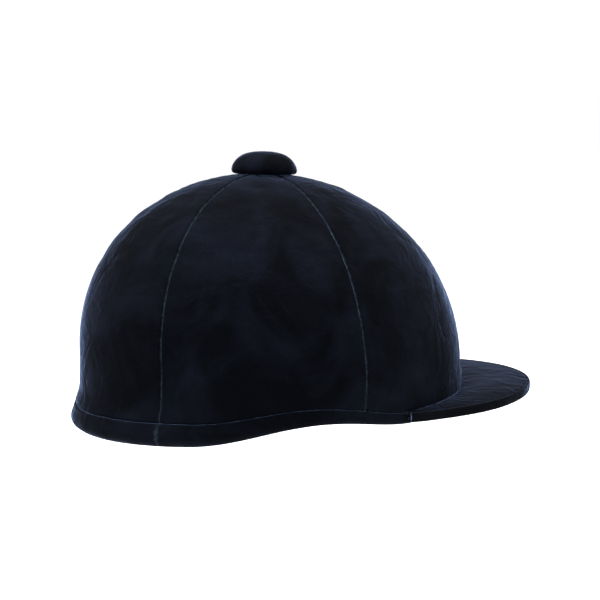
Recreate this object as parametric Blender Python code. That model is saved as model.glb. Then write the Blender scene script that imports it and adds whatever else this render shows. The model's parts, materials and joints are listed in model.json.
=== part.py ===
"""Velvet hunt cap: a riding helmet built as separate pieces. Metres, +Z up, peak towards -Y."""

import math

import bmesh
import bpy
from mathutils import Matrix, Vector

# ---------------------------------------------------------------------------
# Driving dimensions, in metres. Z = 0 is the flat surface that the cap stands on.
# ---------------------------------------------------------------------------
CAP_LENGTH = 0.252            # front to back over the velvet, without the peak
CAP_WIDTH = 0.210             # side to side over the velvet
CROWN_RISE = 0.115            # from the widest height to the crown
WIDEST_HEIGHT = 0.0355        # widest height above the standing surface
CROWN_FULLNESS = 2.05         # exponent of the crown curve, 2 is an ellipse
CROWN_SETBACK = 0.0098        # crown point behind the middle of the head opening
NOSE_DOWN = math.radians(3.6)  # how far the standing cap leans forward

CLEARANCE = 0.0003            # gap between pieces that touch
VELVET = 0.0012
SHELL_WALL = 0.0030
WEBBING_SPACE = 0.0035        # room between shell and liner where the webbing passes
LINER_WALL = 0.0120
LINING_CLOTH = 0.0008
HEADBAND_WALL = 0.0056
HEADBAND_HEIGHT = 0.036

EAR_RISE = 0.0086             # how far the rim arches up over each ear
EAR_ANGLE = 105.0             # degrees from the front
EAR_HALF_SPAN = 36.0
FRONT_RISE = 0.0010
RIM_FLANGE = 0.0020           # thickness of the rim band where it turns under
RIM_LIP = 0.0008              # how far it turns up outside the shell, below the peak
RIM_BAND_REAR = 0.0140        # height of the rim band at the back
RIM_BAND_TEMPLE = 0.0065
RIM_FLARE = 0.0042            # how far the rim band stands out at the back

PEAK_LENGTH = 0.055
PEAK_SPAN = 76.0              # degrees each side of the front where its outline meets the cap
PEAK_TAPER = 1.2              # how quickly its outline runs in to the cap at the sides
PEAK_END = 70.0               # degrees each side of the front where it is cut off
PEAK_BOARD = 0.0024
PEAK_VELVET = 0.0010
PEAK_LINING = 0.0008
PEAK_FLANGE = 0.0100          # height of the peak's flange against the shell
PEAK_EDGE_SIDE = 0.0066       # top of the peak's outer edge, at its sides
PEAK_EDGE_LIFT = 0.0010       # how much higher the middle of that edge is
BINDING_WIDTH = 0.0024
BINDING_HEIGHT = 0.0059

BUTTON_DIAMETER = 0.0400
BUTTON_HEIGHT = 0.0134
BUTTON_COVER = 0.0011
BUTTON_FULLNESS = 2.5         # exponent of its dome, 2 is a parabola
BUTTON_EDGE = 0.0012          # height of its edge
STUD_RADIUS = 0.0024
WASHER_RADIUS = 0.0085
NUT_RADIUS = 0.0052

RIVET_RADIUS = 0.0016
RIVET_HEAD_RADIUS = 0.0036
RIVET_HEAD = 0.0007
RIVET_HEIGHT = 0.026          # of the harness rivets
TAB_WIDTH = 0.0160
TAB_WEBBING = 0.0010
TAB_GAP = 0.0008              # a flat tab stands off the curved shell
TAB_ABOVE_RIVET = 0.0070
TAB_SHORT = 0.0026            # from the end of a tab to the line where the side straps fold
FRONT_ANCHOR = 65.0           # degrees from the front
REAR_ANCHOR = 135.0
HINGE_INSET = 0.033           # from the velvet to the line where the side straps fold
HINGE_ABOVE_RIM = 0.0036

WEBBING = 0.0014
LEG_WIDTH = 0.0120
CHIN_WIDTH = 0.0150
STRAP_DROP = 0.070            # fold line to the middle of the divider
LEG_AIM = 0.0075              # each side strap ends this far from the divider's middle
LEG_IN_DIVIDER = 0.0050       # and this far short of it
DIVIDER_BACK = 0.052          # divider behind the front anchor, along the fold line
DIVIDER_THICKNESS = 0.0048
DIVIDER_HALF_LENGTH = 0.0225
DIVIDER_HALF_HEIGHT = 0.0120
CHIN_HINGE_BEYOND = 0.0225    # from the divider's middle to where the chin strap turns
CHIN_STRAIGHT = 0.022         # the chin strap runs straight for this far, and then curves
HINGE_SLACK = 0.0010          # from a fold line to the first of the strap that turns on it
KEEPER_AT = 0.030             # along the chin strap, from its fold line
KEEPER_LENGTH = 0.007
KEEPER_WALL = 0.0009
ADJUSTER_AT = 0.048
ADJUSTER_LENGTH = 0.011
ADJUSTER_WALL = 0.0013
BUCKLE_HALF = 0.020           # from the end of each chin strap to the middle of the chin
BUCKLE_BACK = 0.008           # how far each half reaches back over its strap
BUCKLE_WIDTH = 0.024
BUCKLE_THICKNESS = 0.0076
BUCKLE_SIDE_WALL = 0.0018
BUCKLE_FACE_WALL = 0.0016
STRAP_IN_BUCKLE = 0.0060      # from the end of the strap to the end of its path
STRAP_POCKET = 0.0024         # height of the slot that holds the strap
PRONG_REACH = 0.0120          # how far the prongs pass the middle of the chin
PRONG_WIDTH = 0.0036
PRONG_THICKNESS = 0.0032
TONGUE_WIDTH = 0.0028
TONGUE_SHORT = 0.0040         # the tongue ends this far before the prongs
TUCK_LEAN = math.radians(14)  # lean of the side straps when they lie inside the cap
TUCK_YAW = math.radians(30)   # direction of the tucked chin strap, inwards from the front
TUCK_PITCH = math.radians(-20)
TUCK_ROLL = math.radians(30)  # side to which it curves, about its own direction

HALF_LENGTH = CAP_LENGTH / 2
HALF_WIDTH = CAP_WIDTH / 2
STEP = 10
SHELL_OUT = VELVET + CLEARANCE
SHELL_IN = SHELL_OUT + SHELL_WALL
LINER_OUT = SHELL_IN + WEBBING_SPACE
LINER_OUT_TOP = SHELL_IN + CLEARANCE
LINER_IN = LINER_OUT + LINER_WALL
HEADBAND_OUT = LINER_IN + CLEARANCE
HEADBAND_IN = HEADBAND_OUT + HEADBAND_WALL
RIM_INNER = LINER_IN - 0.0005
PEAK_STACK = PEAK_VELVET + PEAK_BOARD + PEAK_LINING + 2 * CLEARANCE


# ---------------------------------------------------------------------------
# The cap's own surface. Angles are degrees from the front, positive to the wearer's left.
# ---------------------------------------------------------------------------
def leaned(x, y, height):
    """A point given in the upright cap, after the cap leans forward on its rim."""
    turned = Matrix.Rotation(NOSE_DOWN, 3, "X") @ Vector((x, y, height))
    return turned + Vector((0, 0, WIDEST_HEIGHT))


def wall_raw(angle, z, inset):
    a = math.radians(angle)
    x = (HALF_WIDTH - inset) * math.sin(a)
    y = -(HALF_LENGTH - inset) * math.cos(a)
    height = (z - WIDEST_HEIGHT - y * math.sin(NOSE_DOWN)) / math.cos(NOSE_DOWN)
    return leaned(x, y, height)


def middle_shift():
    """Puts the middle of the whole cap, peak included, over the origin."""
    front = wall_raw(0, PEAK_EDGE_SIDE + PEAK_EDGE_LIFT - BINDING_HEIGHT,
                     -PEAK_LENGTH - BINDING_WIDTH - CLEARANCE).y
    rear = wall_raw(180, RIM_FLANGE * 1.5, -RIM_FLARE).y
    return Vector((0, -(front + rear) / 2, 0))


MIDDLE = middle_shift()


def wall_point(angle, z, inset):
    """On the upright wall, at a height above the standing surface."""
    return wall_raw(angle, z, inset) + MIDDLE


def crown_point(angle, rise, inset):
    """On the domed crown; rise is 0 at the widest height and 90 at the crown point."""
    a = math.radians(angle)
    u = math.radians(rise)
    rho = math.cos(u) ** (2 / CROWN_FULLNESS)
    height = (CROWN_RISE - inset) * math.sin(u) ** (2 / CROWN_FULLNESS)
    x = (HALF_WIDTH - inset) * rho * math.sin(a)
    y = -(HALF_LENGTH - inset) * rho * math.cos(a) + CROWN_SETBACK * height / CROWN_RISE
    return leaned(x, y, height) + MIDDLE


def rise_for_radius(radius, inset):
    """The crown rise at which a ring of this half-width is left."""
    share = radius / (HALF_WIDTH - inset)
    return math.degrees(math.acos(share ** (CROWN_FULLNESS / 2)))


def hump(angle, centre, half_span):
    """1 at the centre, falling smoothly to 0 at half_span to either side."""
    away = abs(abs(angle) - centre) / half_span
    return math.cos(away * math.pi / 2) ** 2 if away < 1 else 0.0


def rim_height(angle):
    """Underside of the rim: flat at the back and arched over the ears."""
    fade = min(max((abs(angle) - 64) / 68, 0), 1)
    front = FRONT_RISE * (1 + math.cos(math.pi * fade)) / 2
    return front + EAR_RISE * hump(angle, EAR_ANGLE, EAR_HALF_SPAN)


def rim_band_height(angle):
    """The rim band is low beside the peak and deep at the back."""
    share = min(max((abs(angle) - PEAK_END) / (150 - PEAK_END), 0), 1)
    smooth = share * share * (3 - 2 * share)
    return RIM_BAND_TEMPLE + (RIM_BAND_REAR - RIM_BAND_TEMPLE) * smooth


def rim_band_top(angle):
    under_peak = abs(angle) <= PEAK_END
    return rim_height(angle) + (RIM_FLANGE + RIM_LIP if under_peak else rim_band_height(angle))


def peak_root_top(angle):
    return rim_height(angle) + RIM_FLANGE + RIM_LIP + CLEARANCE + PEAK_STACK


def peak_board_top(angle):
    return peak_root_top(angle) - PEAK_VELVET - CLEARANCE


def peak_flange_top(angle):
    share = 0.15 + 0.85 * math.cos(math.radians(90 * angle / 72))
    return peak_board_top(angle) + PEAK_FLANGE * share


def peak_reach(angle):
    return PEAK_LENGTH * math.cos(math.radians(90 * angle / PEAK_SPAN)) ** PEAK_TAPER


def peak_edge_top(angle):
    return PEAK_EDGE_SIDE + PEAK_EDGE_LIFT * hump(angle, 0, 55)


def panel_bottom(angle):
    """The velvet ends just above the rim band, or above the flange of the peak."""
    lower = rim_band_top(angle)
    if abs(angle) <= PEAK_END:
        lower = max(lower, peak_flange_top(angle))
    return lower + CLEARANCE


# ---------------------------------------------------------------------------
# Mesh helpers
# ---------------------------------------------------------------------------
def material(name, colour, roughness, metallic=0.0):
    made = bpy.data.materials.new(name)
    made.use_nodes = True
    shader = made.node_tree.nodes["Principled BSDF"]
    shader.inputs["Base Color"].default_value = (*colour, 1.0)
    shader.inputs["Roughness"].default_value = roughness
    shader.inputs["Metallic"].default_value = metallic
    return made


def finish(name, mesh, look, origin=(0, 0, 0), parent=None):
    """Moves the origin to a point, names the object and gives it its material."""
    origin = Vector(origin)
    bmesh.ops.recalc_face_normals(mesh, faces=mesh.faces)
    bmesh.ops.translate(mesh, verts=mesh.verts, vec=-origin)
    data = bpy.data.meshes.new(name)
    mesh.to_mesh(data)
    mesh.free()
    data.shade_smooth()
    data.set_sharp_from_angle(angle=math.radians(35))
    data.materials.append(material(name + "_material", *look))
    made = bpy.data.objects.new(name, data)
    bpy.context.collection.objects.link(made)
    made.location = origin
    if parent:
        made.parent = parent
        made.location = origin - parent.location
    return made


def strip(mesh, row_a, row_b):
    """Joins two rows of vertices, with each diagonal running from the lower side up."""
    for k in range(len(row_a) - 1):
        a, b, c, d = row_a[k], row_b[k], row_b[k + 1], row_a[k + 1]
        if a.co.z <= d.co.z:
            mesh.faces.new((a, b, c))
            mesh.faces.new((a, c, d))
        else:
            mesh.faces.new((a, b, d))
            mesh.faces.new((b, c, d))


def layer(outer, inner, closed, pole=None):
    """A wall between two grids of points: one row of each per angle, from the rim upwards.

    pole is the pair of points, outer and inner, that closes the crown of a round wall.
    """
    mesh = bmesh.new()
    out_rows = [[mesh.verts.new(p) for p in row] for row in outer]
    in_rows = [[mesh.verts.new(p) for p in row] for row in inner]
    tops = [mesh.verts.new(p) for p in pole] if pole else None
    pairs = [(i, i + 1) for i in range(len(outer) - 1)]
    if closed:
        pairs.append((len(outer) - 1, 0))
    for i, j in pairs:
        strip(mesh, out_rows[i], out_rows[j])
        strip(mesh, in_rows[i], in_rows[j])
        mesh.faces.new((out_rows[i][0], out_rows[j][0], in_rows[j][0], in_rows[i][0]))
        if tops:
            mesh.faces.new((out_rows[i][-1], out_rows[j][-1], tops[0]))
            mesh.faces.new((in_rows[i][-1], in_rows[j][-1], tops[1]))
        else:
            mesh.faces.new((out_rows[i][-1], out_rows[j][-1], in_rows[j][-1], in_rows[i][-1]))
    if not closed:
        for i in (0, len(outer) - 1):
            for k in range(len(outer[i]) - 1):
                mesh.faces.new((out_rows[i][k], out_rows[i][k + 1],
                                in_rows[i][k + 1], in_rows[i][k]))
    return mesh


def lathe(profile, centre, axis, sides=16):
    """A turned solid. The profile lists (radius, distance along the axis); radius 0 closes it."""
    turn = Vector(axis).normalized().to_track_quat("Z", "Y").to_matrix()
    mesh = bmesh.new()
    rings = []
    for radius, along in profile:
        if radius == 0:
            rings.append([mesh.verts.new(Vector(centre) + turn @ Vector((0, 0, along)))])
            continue
        ring = []
        for k in range(sides):
            a = 2 * math.pi * k / sides
            offset = Vector((radius * math.cos(a), radius * math.sin(a), along))
            ring.append(mesh.verts.new(Vector(centre) + turn @ offset))
        rings.append(ring)
    ends_open = len(rings[0]) > 1
    pairs = list(zip(rings, rings[1:] + rings[:1] if ends_open else rings[1:]))
    for low, high in pairs:
        for k in range(sides):
            n = (k + 1) % sides
            corners = [low[k % len(low)], low[n % len(low)], high[n % len(high)], high[k % len(high)]]
            corners = list(dict.fromkeys(corners))
            if len(corners) > 2:
                mesh.faces.new(corners)
    return mesh


def prism(outline, origin, across, up, thickness):
    """A flat plate: an outline in two directions, with half its thickness on each side."""
    normal = across.cross(up).normalized()
    mesh = bmesh.new()
    sides = []
    for half in (-thickness / 2, thickness / 2):
        sides.append([mesh.verts.new(origin + across * s + up * r + normal * half) for s, r in outline])
    mesh.faces.new(sides[0])
    mesh.faces.new(list(reversed(sides[1])))
    for k in range(len(outline)):
        n = (k + 1) % len(outline)
        mesh.faces.new((sides[0][k], sides[1][k], sides[1][n], sides[0][n]))
    return mesh


def ribbon(points, faces_out, across, width, thickness):
    """A strap along a path, flat side facing the directions in faces_out."""
    outer = []
    inner = []
    for point, out in zip(points, faces_out):
        row = [point - across * width / 2, point + across * width / 2]
        outer.append([p + out * thickness / 2 for p in row])
        inner.append([p - out * thickness / 2 for p in row])
    return layer(outer, inner, closed=False)


def cut(target, cutter_mesh, name):
    """Cuts a hidden solid out of an object."""
    cutter = finish(name, cutter_mesh, ((0.5, 0.5, 0.5), 0.5))
    cutter.hide_render = True
    cutter.display_type = "WIRE"
    cutting = target.modifiers.new(name, "BOOLEAN")
    cutting.operation = "DIFFERENCE"
    cutting.solver = "EXACT"
    cutting.object = cutter


# ---------------------------------------------------------------------------
# Looks: colour, roughness, metallic
# ---------------------------------------------------------------------------
NAVY_VELVET = ((0.020, 0.026, 0.052), 0.9)
DARK_BINDING = ((0.012, 0.016, 0.032), 0.85)
BLACK_SHELL = ((0.02, 0.02, 0.022), 0.45)
BLACK_BOARD = ((0.03, 0.03, 0.03), 0.6)
WHITE_FOAM = ((0.72, 0.72, 0.70), 0.8)
BLACK_CLOTH = ((0.018, 0.018, 0.020), 0.85)
BLACK_LEATHER = ((0.025, 0.022, 0.020), 0.5)
BLACK_WEBBING = ((0.015, 0.015, 0.016), 0.75)
BLACK_ACETAL = ((0.018, 0.018, 0.018), 0.35)
BRASS = ((0.60, 0.44, 0.20), 0.35, 1.0)
STEEL = ((0.55, 0.55, 0.54), 0.4, 1.0)

for old in list(bpy.data.objects):
    bpy.data.objects.remove(old, do_unlink=True)

ROUND = list(range(0, 360, STEP))
SIGNED = [angle if angle <= 180 else angle - 360 for angle in ROUND]
PANEL_TOP = rise_for_radius(0.009, 0)
RISES = [0, 12, 24, 36, 48, 60, 70, 78, PANEL_TOP]


# ---------------------------------------------------------------------------
# Hard shell
# ---------------------------------------------------------------------------
def shell_row(angle, inset):
    low = rim_height(angle) + RIM_FLANGE + CLEARANCE
    hole = rise_for_radius(STUD_RADIUS + 2 * CLEARANCE, inset)
    return [wall_point(angle, low, inset)] + [crown_point(angle, r, inset) for r in RISES + [hole]]


outer_shell = finish(
    "outer_shell",
    layer([shell_row(a, SHELL_OUT) for a in SIGNED], [shell_row(a, SHELL_IN) for a in SIGNED], True),
    BLACK_SHELL)


# ---------------------------------------------------------------------------
# Six velvet panels, seams at 30, 90 and 150 degrees on both sides
# ---------------------------------------------------------------------------
def panel_row(angle, inset, sideways):
    """One row of a panel; sideways moves an edge row clear of the seam."""
    a = math.radians(angle)
    shift = Vector((math.cos(a), math.sin(a), 0)) * sideways
    row = [wall_point(angle, panel_bottom(angle), inset)]
    row += [crown_point(angle, r, inset) for r in RISES]
    return [p + shift for p in row]


PANELS = {"panel_front": 0, "panel_front_left": 60, "panel_rear_left": 120,
          "panel_rear": 180, "panel_rear_right": -120, "panel_front_right": -60}
for name, middle in PANELS.items():
    outer = []
    inner = []
    for offset in range(-30, 31, STEP):
        angle = middle + offset
        angle = angle - 360 if angle > 180 else angle
        sideways = -math.copysign(CLEARANCE * 0.7, offset) if abs(offset) == 30 else 0
        outer.append(panel_row(angle, 0, sideways))
        inner.append(panel_row(angle, VELVET, sideways))
    finish("velvet_" + name, layer(outer, inner, False), NAVY_VELVET)


# ---------------------------------------------------------------------------
# Rim band: velvet rolled over the lower edge of the shell and turned under it
# ---------------------------------------------------------------------------
def rim_row_outer(angle):
    base = rim_height(angle)
    tall = rim_band_top(angle) - base
    flare = RIM_FLARE * tall / RIM_BAND_REAR
    return [wall_point(angle, base, RIM_INNER),
            wall_point(angle, base, -0.3 * flare),
            wall_point(angle, base + 0.35 * RIM_FLANGE, -0.8 * flare),
            wall_point(angle, base + max(0.3 * tall, 0.6 * RIM_FLANGE), -flare),
            wall_point(angle, base + max(0.7 * tall, 0.8 * RIM_FLANGE), -0.6 * flare),
            wall_point(angle, base + tall, 0.1 * VELVET)]


def rim_row_inner(angle):
    base = rim_height(angle) + RIM_FLANGE
    tall = rim_band_top(angle) - base
    return [wall_point(angle, base, RIM_INNER),
            wall_point(angle, base, VELVET + 0.002),
            wall_point(angle, base, VELVET),
            wall_point(angle, base + 0.25 * tall, VELVET),
            wall_point(angle, base + 0.6 * tall, VELVET),
            wall_point(angle, base + tall, VELVET)]


finish("rim_band",
       layer([rim_row_outer(a) for a in SIGNED], [rim_row_inner(a) for a in SIGNED], True),
       NAVY_VELVET)


# ---------------------------------------------------------------------------
# Peak: a board with a flange against the shell, velvet above, lining below, bound edge
# ---------------------------------------------------------------------------
PEAK_ANGLES = list(range(-int(PEAK_END), int(PEAK_END) + 1, STEP))


def peak_point(angle, share, drop):
    """On the peak, from its root (0) to its outer edge (1), a drop below its top face."""
    root = peak_root_top(angle)
    edge = peak_edge_top(angle)
    inset = -CLEARANCE - (peak_reach(angle) - CLEARANCE) * share
    return wall_point(angle, root + (edge - root) * share - drop, inset)


def peak_sheet(angle, drop):
    return [peak_point(angle, share, drop) for share in (1.0, 0.5, 0.0)]


def peak_leaf(name, top, thickness, look):
    return finish(name, layer([peak_sheet(a, top) for a in PEAK_ANGLES],
                              [peak_sheet(a, top + thickness) for a in PEAK_ANGLES], False), look)


def board_upper(angle):
    drop = PEAK_VELVET + CLEARANCE
    low = peak_board_top(angle)
    return peak_sheet(angle, drop) + [wall_point(angle, low, 0),
                                      wall_point(angle, peak_flange_top(angle), 0)]


def board_under(angle):
    drop = PEAK_VELVET + CLEARANCE + PEAK_BOARD
    low = peak_board_top(angle) - PEAK_BOARD
    return peak_sheet(angle, drop) + [wall_point(angle, low, VELVET),
                                      wall_point(angle, peak_flange_top(angle), VELVET)]


peak_leaf("peak_top_velvet", 0, PEAK_VELVET, NAVY_VELVET)
peak_board = finish("peak_board", layer([board_upper(a) for a in PEAK_ANGLES],
                                        [board_under(a) for a in PEAK_ANGLES], False), BLACK_BOARD)
peak_leaf("peak_underside_lining", PEAK_STACK - PEAK_LINING, PEAK_LINING, BLACK_CLOTH)


def binding_row(angle, away):
    top = peak_edge_top(angle) + 0.0002
    reach = peak_reach(angle) + CLEARANCE
    inset = -reach - away
    soft = 0.0008 if away > 0 else 0
    return [wall_point(angle, top - BINDING_HEIGHT, inset + soft),
            wall_point(angle, top - BINDING_HEIGHT + 0.0012, inset),
            wall_point(angle, top - 0.0012, inset),
            wall_point(angle, top, inset + soft)]


finish("peak_edge_binding", layer([binding_row(a, BINDING_WIDTH) for a in PEAK_ANGLES],
                                  [binding_row(a, 0) for a in PEAK_ANGLES], False), DARK_BINDING)


# ---------------------------------------------------------------------------
# Rivets. Each stands square to the wall at its angle.
# ---------------------------------------------------------------------------
def wall_normal(angle):
    a = math.radians(angle)
    return Vector((math.sin(a) / HALF_WIDTH, -math.cos(a) / HALF_LENGTH, 0)).normalized()


def rivet_profile(head_from, head_to, tail, radius, head_radius):
    """From the flush outer face inwards to the head behind the wall."""
    return [(0, -head_from), (radius, -head_from), (radius, -tail), (head_radius, -tail),
            (head_radius, -head_to), (0, -head_to)]


def peak_rivet(name, angle):
    z = peak_board_top(angle) + PEAK_FLANGE * 0.45
    centre = wall_point(angle, z, 0)
    out = Matrix.Rotation(NOSE_DOWN, 3, "X") @ wall_normal(angle)
    tail = SHELL_IN + TAB_GAP
    hole = lathe([(0, 0.004), (RIVET_RADIUS + CLEARANCE, 0.004),
                  (RIVET_RADIUS + CLEARANCE, -0.007), (0, -0.007)], centre, out, 12)
    second = hole.copy()
    cut(outer_shell, hole, name + "_shell_hole")
    cut(peak_board, second, name + "_board_hole")
    profile = rivet_profile(CLEARANCE, tail + RIVET_HEAD, tail, RIVET_RADIUS, RIVET_HEAD_RADIUS)
    finish(name, lathe(profile, centre, out, 12), STEEL)


for name, angle in (("peak_rivet_left", 20), ("peak_rivet_middle", 0), ("peak_rivet_right", -20)):
    peak_rivet(name, angle)


# ---------------------------------------------------------------------------
# Crown button, held by a stud through the shell
# ---------------------------------------------------------------------------
crown = leaned(0, CROWN_SETBACK, CROWN_RISE) + MIDDLE
crown_axis = Matrix.Rotation(NOSE_DOWN, 3, "X") @ Vector((0, 0, 1))
BUTTON_RADIUS = BUTTON_DIAMETER / 2


def crown_drop(radius, half_size, inset=0.0):
    """How far the crown has fallen away from its top at a distance from it."""
    share = (radius / (half_size - inset)) ** CROWN_FULLNESS
    return (CROWN_RISE - inset) * (1 - (1 - share) ** (1 / CROWN_FULLNESS))


def button_dome(radius, low, top):
    """Rings of the button's dome from its edge upwards, without the crown point."""
    rings = []
    for k in range(6):
        share = math.cos(math.radians(15 * k))
        rings.append((radius * share, low + (top - low) * (1 - share ** BUTTON_FULLNESS)))
    return rings


def button_profile(radius, top, base, hole_radius, hole_depth):
    """A low dome with a seat that follows the crown and a blind hole for the stud."""
    seat = [(hole_radius, base), (radius * 0.95, base - crown_drop(radius * 0.95, HALF_LENGTH))]
    side = button_dome(radius, base + BUTTON_EDGE, top)
    hole = [(0, hole_depth), (hole_radius, hole_depth)]
    return hole + seat + side + [(0, top)]


core_top = BUTTON_HEIGHT - BUTTON_COVER - CLEARANCE
core_radius = BUTTON_RADIUS - BUTTON_COVER - CLEARANCE
finish("button_core",
       lathe(button_profile(core_radius, core_top, 2 * CLEARANCE,
                            STUD_RADIUS + CLEARANCE, core_top * 0.7), crown, crown_axis, 24),
       BLACK_BOARD)

cover_edge = 2 * CLEARANCE + BUTTON_EDGE
cover_out = button_dome(BUTTON_RADIUS, cover_edge, BUTTON_HEIGHT)
cover_in = button_dome(core_radius + CLEARANCE, cover_edge, core_top + CLEARANCE)
cover_profile = ([(0, BUTTON_HEIGHT)] + cover_out[::-1] + [(BUTTON_RADIUS - 0.0006, 2 * CLEARANCE)]
                 + [(core_radius + CLEARANCE, 2 * CLEARANCE)] + cover_in
                 + [(0, core_top + CLEARANCE)])
finish("button_cover", lathe(cover_profile, crown, crown_axis, 24), NAVY_VELVET)

under_shell = -SHELL_IN - crown_drop(WASHER_RADIUS, HALF_WIDTH, SHELL_IN) - CLEARANCE
washer_low = under_shell - 0.0008
nut_low = washer_low - CLEARANCE - 0.0030
stud_top = core_top * 0.7 - CLEARANCE
finish("button_stud", lathe([(0, stud_top), (STUD_RADIUS, stud_top), (STUD_RADIUS, nut_low - 0.001),
                             (0, nut_low - 0.001)], crown, crown_axis, 12), STEEL)
bore = STUD_RADIUS + CLEARANCE
finish("button_washer", lathe([(bore, under_shell), (WASHER_RADIUS, under_shell),
                               (WASHER_RADIUS, washer_low), (bore, washer_low)],
                              crown, crown_axis, 18), STEEL)
nut_top = washer_low - CLEARANCE
nut_bore = bore / math.cos(math.radians(30))
finish("button_nut", lathe([(nut_bore, nut_top), (NUT_RADIUS, nut_top), (NUT_RADIUS, nut_low),
                            (nut_bore, nut_low)], crown, crown_axis, 6), STEEL)


# ---------------------------------------------------------------------------
# Inside: foam liner, cloth lining, crown pad, headband and its pads
# ---------------------------------------------------------------------------
INNER_BOTTOM = RIM_FLANGE + 0.0032    # above the rim underside: leaves room for the webbing
LINER_HOLE = WASHER_RADIUS + 0.0015


def liner_outer(angle):
    top = rise_for_radius(LINER_HOLE, LINER_OUT_TOP)
    insets = [LINER_OUT, LINER_OUT, (LINER_OUT + LINER_OUT_TOP) / 2] + [LINER_OUT_TOP] * 5
    rises = RISES[:-1] + [top]
    low = rim_height(angle) + INNER_BOTTOM
    row = [wall_point(angle, low, LINER_OUT)]
    return row + [crown_point(angle, r, i) for r, i in zip(rises, insets + [LINER_OUT_TOP])]


def liner_inner(angle):
    top = rise_for_radius(LINER_HOLE, LINER_IN)
    low = rim_height(angle) + INNER_BOTTOM
    row = [wall_point(angle, low, LINER_IN)]
    return row + [crown_point(angle, r, LINER_IN) for r in RISES[:-1] + [top]]


finish("impact_liner",
       layer([liner_outer(a) for a in SIGNED], [liner_inner(a) for a in SIGNED], True), WHITE_FOAM)


def side_point(angle, z, inset):
    """On the wall, or where it begins to curve in, on the flat between its first two rows."""
    widest = crown_point(angle, 0, inset)
    if z <= widest.z:
        return wall_point(angle, z, inset)
    above = crown_point(angle, RISES[1], inset)
    return widest.lerp(above, (z - widest.z) / (above.z - widest.z))


def lining_row(angle, inset):
    low = rim_height(angle) + INNER_BOTTOM + HEADBAND_HEIGHT + CLEARANCE
    return [side_point(angle, low, inset)] + [crown_point(angle, r, inset) for r in RISES[2:-1]]


lining_in = HEADBAND_OUT + LINING_CLOTH
finish("lining_cap",
       layer([lining_row(a, HEADBAND_OUT) for a in SIGNED], [lining_row(a, lining_in) for a in SIGNED],
             True, pole=(crown_point(0, 90, HEADBAND_OUT), crown_point(0, 90, lining_in))),
       BLACK_CLOTH)

pad_out = lining_in + CLEARANCE
pad_in = pad_out + 0.0055
finish("crown_pad",
       layer([[crown_point(a, r, pad_out) for r in (60, 70, 78)] for a in SIGNED],
             [[crown_point(a, r, pad_in) for r in (60, 70, 78)] for a in SIGNED],
             True, pole=(crown_point(0, 90, pad_out), crown_point(0, 90, pad_in))),
       BLACK_CLOTH)


def band_row(angle, inset, low, high):
    """Three points up the side; the middle one is where the wall begins to curve in."""
    base = rim_height(angle) + INNER_BOTTOM
    bend = crown_point(angle, 0, inset).z
    middle = min(max(bend, base + low + 0.002), base + high - 0.002)
    return [side_point(angle, z, inset) for z in (base + low, middle, base + high)]


finish("headband",
       layer([band_row(a, HEADBAND_OUT, 0, HEADBAND_HEIGHT) for a in SIGNED],
             [band_row(a, HEADBAND_IN, 0.0012, HEADBAND_HEIGHT - 0.0012) for a in SIGNED], True),
       BLACK_LEATHER)
for name, middle, reach in (("brow_pad", 0, 30), ("nape_pad", 180, 30)):
    span = [middle + k for k in range(-reach, reach + 1, STEP)]
    span = [angle - 360 if angle > 180 else angle for angle in span]
    finish(name,
           layer([band_row(a, HEADBAND_IN + CLEARANCE, 0.003, HEADBAND_HEIGHT - 0.004) for a in span],
                 [band_row(a, HEADBAND_IN + 0.0042, 0.005, HEADBAND_HEIGHT - 0.006) for a in span],
                 False),
           BLACK_CLOTH)


# ---------------------------------------------------------------------------
# Harness. Built for the wearer's left; the right side is its mirror image.
# ---------------------------------------------------------------------------
def mirrored(mesh, side):
    if side < 0:
        bmesh.ops.scale(mesh, vec=(-1, 1, 1), verts=mesh.verts)
    return mesh


def anchor(angle):
    """Foot of a harness tab: a point on the velvet at hinge height, and the way out."""
    z = rim_height(angle) + HINGE_ABOVE_RIM
    return wall_point(angle, z, 0), wall_normal(angle)


def fold_point(angle):
    foot, out = anchor(angle)
    return foot - out * HINGE_INSET


fold_front = fold_point(FRONT_ANCHOR)
fold_rear = fold_point(REAR_ANCHOR)
fold_axis = (fold_rear - fold_front).normalized()
fold_span = (fold_rear - fold_front).length
fold_up = (Vector((0, 0, 1)) - fold_axis * fold_axis.z).normalized()
fold_inward = fold_axis.cross(fold_up)
if fold_inward.x > 0:
    fold_inward = -fold_inward
fold_outward = fold_axis.cross(Vector((0, 0, 1))).normalized()
strap_up = fold_up * math.cos(TUCK_LEAN) + fold_inward * math.sin(TUCK_LEAN)
divider_middle = fold_front + fold_axis * DIVIDER_BACK + strap_up * STRAP_DROP
chin_hinge = divider_middle + strap_up * CHIN_HINGE_BEYOND

# The side strap turns about the fold line until it hangs straight down.
worn_turn = Matrix.Rotation(math.pi - TUCK_LEAN, 3, -fold_axis)
worn_chin_hinge = fold_front + worn_turn @ (chin_hinge - fold_front)
CHIN_CURVE = worn_chin_hinge.x - BUCKLE_HALF
CHIN_LENGTH = CHIN_STRAIGHT + CHIN_CURVE * math.pi / 2

# Direction of the tucked chin strap and the side to which it curves.
chin_along = Vector((math.sin(TUCK_YAW) * math.cos(TUCK_PITCH),
                     -math.cos(TUCK_YAW) * math.cos(TUCK_PITCH), math.sin(TUCK_PITCH)))
chin_curl = (Matrix.Rotation(TUCK_ROLL, 3, chin_along)
             @ Vector((-math.cos(TUCK_YAW), -math.sin(TUCK_YAW), 0)))
chin_across = chin_along.cross(chin_curl)


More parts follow.
